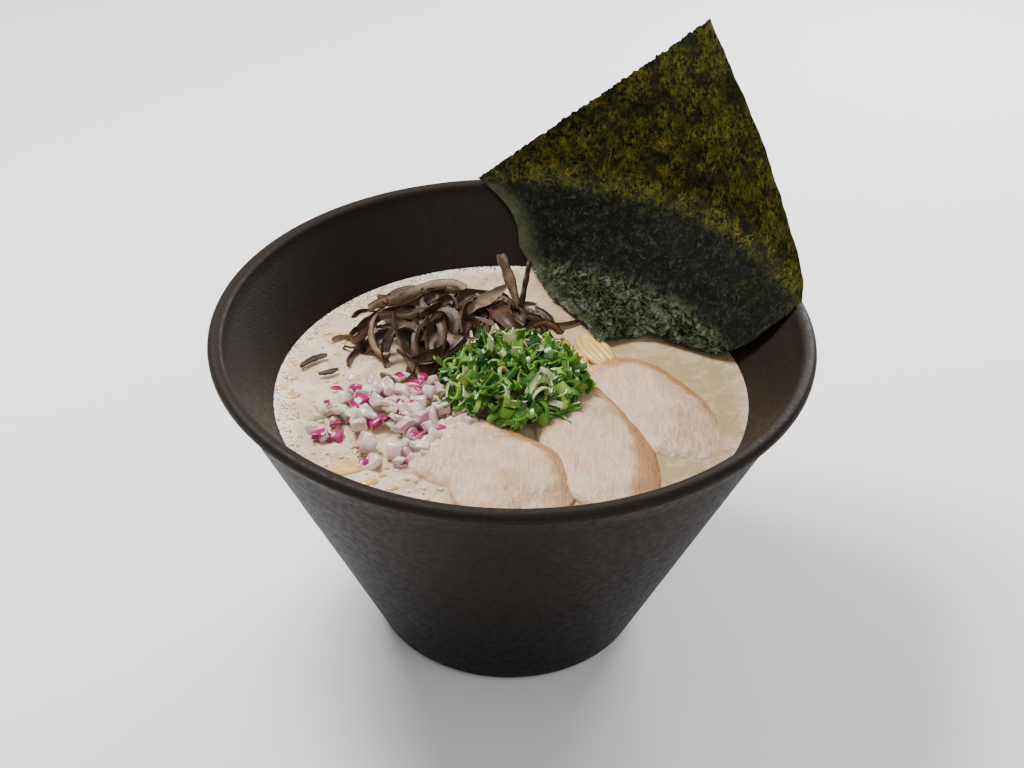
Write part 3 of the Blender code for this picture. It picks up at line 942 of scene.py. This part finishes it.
def onion_die(name, length, width, height, bend, skin):
    """One diced flake: a curved block with soft corners; its outer faces may keep the purple skin."""
    put_down()
    bpy.ops.mesh.primitive_cube_add(size=1.0)
    obj = named(name)
    bpy.ops.object.mode_set(mode="EDIT")
    bpy.ops.mesh.select_all(action="SELECT")
    bpy.ops.mesh.subdivide(number_cuts=2)
    bpy.ops.object.mode_set(mode="OBJECT")
    for face in obj.data.polygons:
        face.material_index = 1 if skin and (face.normal.z > 0.5 or face.normal.y > 0.5) else 0
    shape(obj, lambda p: Vector((p.x * length * (1 + 0.25 * p.y), p.y * width * (1 + 0.3 * p.x),
                                 p.z * height - bend * p.x * p.x * 2)))
    round_off(obj, 0.0003)
    return obj


def onion():
    place = ONION_PLACE
    size = ONION_SIZE

    def on_layer(chance):
        while True:
            x = place[0] + chance.uniform(-1, 1) * size[0]
            y = place[1] + chance.uniform(-1, 1) * size[1]
            z = heap_height(x, y, place, size, 0, ONION_TOP)
            lean = (x - place[0]) / size[0]
            if z is not None and chance.random() < 0.62 + 0.38 * lean:
                sunk = chance.uniform(0.0002, 0.0034) + 0.0010 * max(-lean, 0) - 0.0022 * max(lean, 0)
                return Vector((x, y, z - sunk))

    blanks = [
        onion_die("die_a", 0.0064, 0.0050, 0.0022, 0.0014, False),
        onion_die("die_b", 0.0050, 0.0046, 0.0034, 0.0008, False),
        onion_die("die_c", 0.0074, 0.0042, 0.0018, 0.0022, False),
        onion_die("die_d", 0.0058, 0.0042, 0.0020, 0.0010, True),
        onion_die("die_e", 0.0044, 0.0036, 0.0020, 0.0010, True),
    ]
    finishes = [onion_flesh(), onion_skin()]
    for blank in blanks:
        dress(blank, finishes)
    chance = random.Random(23)
    made = []
    for i in range(185):
        blank = chance.choice(blanks[3:]) if chance.random() < 0.30 else chance.choice(blanks[:3])
        k = chance.uniform(0.6, 1.12)
        lie = Matrix.Translation(on_layer(chance)) @ Matrix.Rotation(chance.uniform(0, math.tau), 4, "Z")
        lean = 22 if blank in blanks[3:] else 50
        lie = lie @ Matrix.Rotation(math.radians(chance.uniform(-lean, lean)), 4, "X")
        lie = lie @ Matrix.Rotation(math.radians(chance.uniform(-lean, lean)), 4, "Y")
        made.append(copy_of(blank, f"onion_{i}", lie @ Matrix.Diagonal((k, k, k, 1))))
    for blank in blanks:
        bpy.data.objects.remove(blank, do_unlink=True)
    whole = joined(made, "red_onion_dressed")
    return done(whole, finishes, "onion", "red_onion_heap")


# ---- noodles ------------------------------------------------------------------------------------------


def dough():
    f = Finish("noodle", Roughness=0.3, Specular_IOR_Level=0.4, Subsurface_Weight=0.2, Subsurface_Scale=0.002)
    f.feed("Base Color", f.mix(f.ramp(f.grain(160.0, 3.0), 0.3, 0.7), (0.57, 0.34, 0.07), (0.66, 0.44, 0.13)))
    f.feed("Normal", f.relief(f.grain(900.0, 2.0), 0.15, 0.0003))
    return f


def noodles():
    """A few strands that come up to the surface beside the scallion."""
    chance = random.Random(5)
    strands = []
    for i in range(9):
        put_down()
        bpy.ops.mesh.primitive_cylinder_add(vertices=8, radius=NOODLE_RADIUS, depth=NOODLE_LENGTH)
        obj = named(f"strand_{i}")
        bpy.ops.object.mode_set(mode="EDIT")
        choose_edges(obj, lambda p: abs(p.z) < 0.011)
        bpy.ops.mesh.subdivide(number_cuts=11)
        bpy.ops.object.mode_set(mode="OBJECT")
        bow = chance.uniform(-0.004, 0.004)
        lift = chance.uniform(-0.0006, 0.0004)
        side = (i - 4) * 0.0021

        def lay(p, bow=bow, lift=lift, side=side):
            t = p.z / (NOODLE_LENGTH / 2)
            return Vector((side + p.x + bow * t * t, p.z, lift + p.y - 0.0016 * t * t))

        shape(obj, lay)
        turn = Matrix.Rotation(math.radians(NOODLE_TURN), 4, "Z")
        obj.data.transform(Matrix.Translation(NOODLE_PLACE) @ turn)
        strands.append(obj)
    whole = joined(strands, "noodles_dressed")
    return done(whole, [dough()], "noodle", "noodle_bundle")


def froth():
    """Real bubbles: rafts of small domes along the left and back edge, and a few in the open."""
    put_down()
    bpy.ops.mesh.primitive_ico_sphere_add(subdivisions=1, radius=1.0)
    blank = named("bubble_blank")
    chance = random.Random(77)
    made = []
    for i in range(900):
        if chance.random() < 0.72:
            side = math.radians(chance.gauss(165, 42))
            radius = BROTH_RADIUS - 0.0006 - abs(chance.gauss(0, 0.0022))
        else:
            side = math.radians(chance.uniform(110, 290))
            radius = BROTH_RADIUS * chance.uniform(0.62, 0.96)
        k = min(chance.expovariate(1 / 0.00022) + 0.00018, 0.0010)
        lie = Matrix.Translation((radius * math.cos(side), radius * math.sin(side), BROTH_LEVEL - 0.0001))
        made.append(copy_of(blank, f"bubble_{i}", lie @ Matrix.Diagonal((k, k, k * 0.6, 1))))
    bpy.data.objects.remove(blank, do_unlink=True)
    whole = joined(made, "froth")
    f = Finish("bubble", Roughness=0.12, Specular_IOR_Level=0.5, Subsurface_Weight=0.2,
               Subsurface_Scale=0.001)
    thin = f.grain(700.0, 3.0)
    f.feed("Base Color", f.mix(f.ramp(thin, 0.4, 0.6), (0.60, 0.48, 0.33), (0.74, 0.64, 0.50)))
    f.feed("Normal", f.relief(thin, 0.1, 0.0002))
    return done(whole, [f], "broth")


def fat():
    """Drops of clear yellow fat that float on the broth, and one larger pool at the front left."""
    put_down()
    bpy.ops.mesh.primitive_uv_sphere_add(segments=20, ring_count=10, radius=1.0)
    blank = named("drop_blank")
    chance = random.Random(9)
    made = []
    spots = [(-0.052, -0.044, 0.0074, 0.0034), (-0.044, -0.051, 0.0030, 0.0016)]
    for i in range(70):
        side = math.radians(chance.uniform(150, 262))
        radius = BROTH_RADIUS * chance.uniform(0.72, 0.97)
        k = min(chance.expovariate(1 / 0.0007) + 0.0004, 0.0022)
        spots.append((radius * math.cos(side), radius * math.sin(side), k, k * chance.uniform(0.7, 1.0)))
    for x, y, long, wide in spots:
        lie = Matrix.Translation((x, y, BROTH_LEVEL - 0.0001)) @ Matrix.Rotation(0.35, 4, "Z")
        made.append(copy_of(blank, "drop", lie @ Matrix.Diagonal((long, wide, 0.0005, 1))))
    bpy.data.objects.remove(blank, do_unlink=True)
    whole = joined(made, "fat_drops")
    f = Finish("fat", Roughness=0.08, Specular_IOR_Level=0.5)
    cloud = f.ramp(f.grain(260.0, 3.0), 0.4, 0.6)
    f.feed("Base Color", f.mix(cloud, (0.52, 0.33, 0.085), (0.64, 0.45, 0.16)))
    f.feed("Normal", f.relief(f.grain(300.0, 2.0), 0.08, 0.0003))
    return done(whole, [f], "broth")


# ---- floor, light and camera --------------------------------------------------------------------------


def studio():
    put_down()
    bpy.ops.mesh.primitive_plane_add(size=6.0, location=(0, 0, -0.0002))
    floor = named("floor")
    f = Finish("floor", Roughness=0.9)
    f.feed("Base Color", (0.86, 0.86, 0.86, 1.0))
    floor.data.materials.append(f.material)
    world = bpy.data.worlds.new("studio")
    bpy.context.scene.world = world
    world.use_nodes = True
    world.node_tree.nodes["Background"].inputs["Color"].default_value = (1.0, 1.0, 1.0, 1.0)
    world.node_tree.nodes["Background"].inputs["Strength"].default_value = 0.50
    lamp("key", (-0.32, 0.24, 0.75), 0.34, 11.5)
    lamp("fill", (0.35, -0.60, 0.60), 0.7, 2.4)
    lamp("back", (0.30, 0.55, 0.35), 0.35, 5.0)


def lamp(name, place, size, power):
    data = bpy.data.lights.new(name, "AREA")
    data.shape = "DISK"
    data.size = size
    data.energy = power
    obj = bpy.data.objects.new(name, data)
    bpy.context.scene.collection.objects.link(obj)
    obj.location = place
    obj.rotation_euler = (Vector((0, 0, 0.1)) - Vector(place)).to_track_quat("-Z", "Y").to_euler()


def camera():
    data = bpy.data.cameras.new("camera")
    data.lens = CAMERA_LENS
    data.sensor_width = 36.0
    obj = bpy.data.objects.new("camera", data)
    bpy.context.scene.collection.objects.link(obj)
    high = math.radians(CAMERA_ELEVATION)
    roll = math.radians(CAMERA_ROLL)
    back = Vector((0, -math.cos(high), math.sin(high)))
    right = Vector((1, 0, 0))
    over = back.cross(right)
    side = right * math.cos(roll) + over * math.sin(roll)
    top = over * math.cos(roll) - right * math.sin(roll)
    place = Vector(CAMERA_AIM) + back * CAMERA_AWAY
    turn = Matrix((side, top, back)).transposed().to_4x4()
    obj.matrix_world = Matrix.Translation(place) @ turn
    bpy.context.scene.camera = obj


camera()
studio()
bowl()
broth()
chicken()
nori()
wood_ear()
scallion()
onion()
noodles()
froth()
fat()
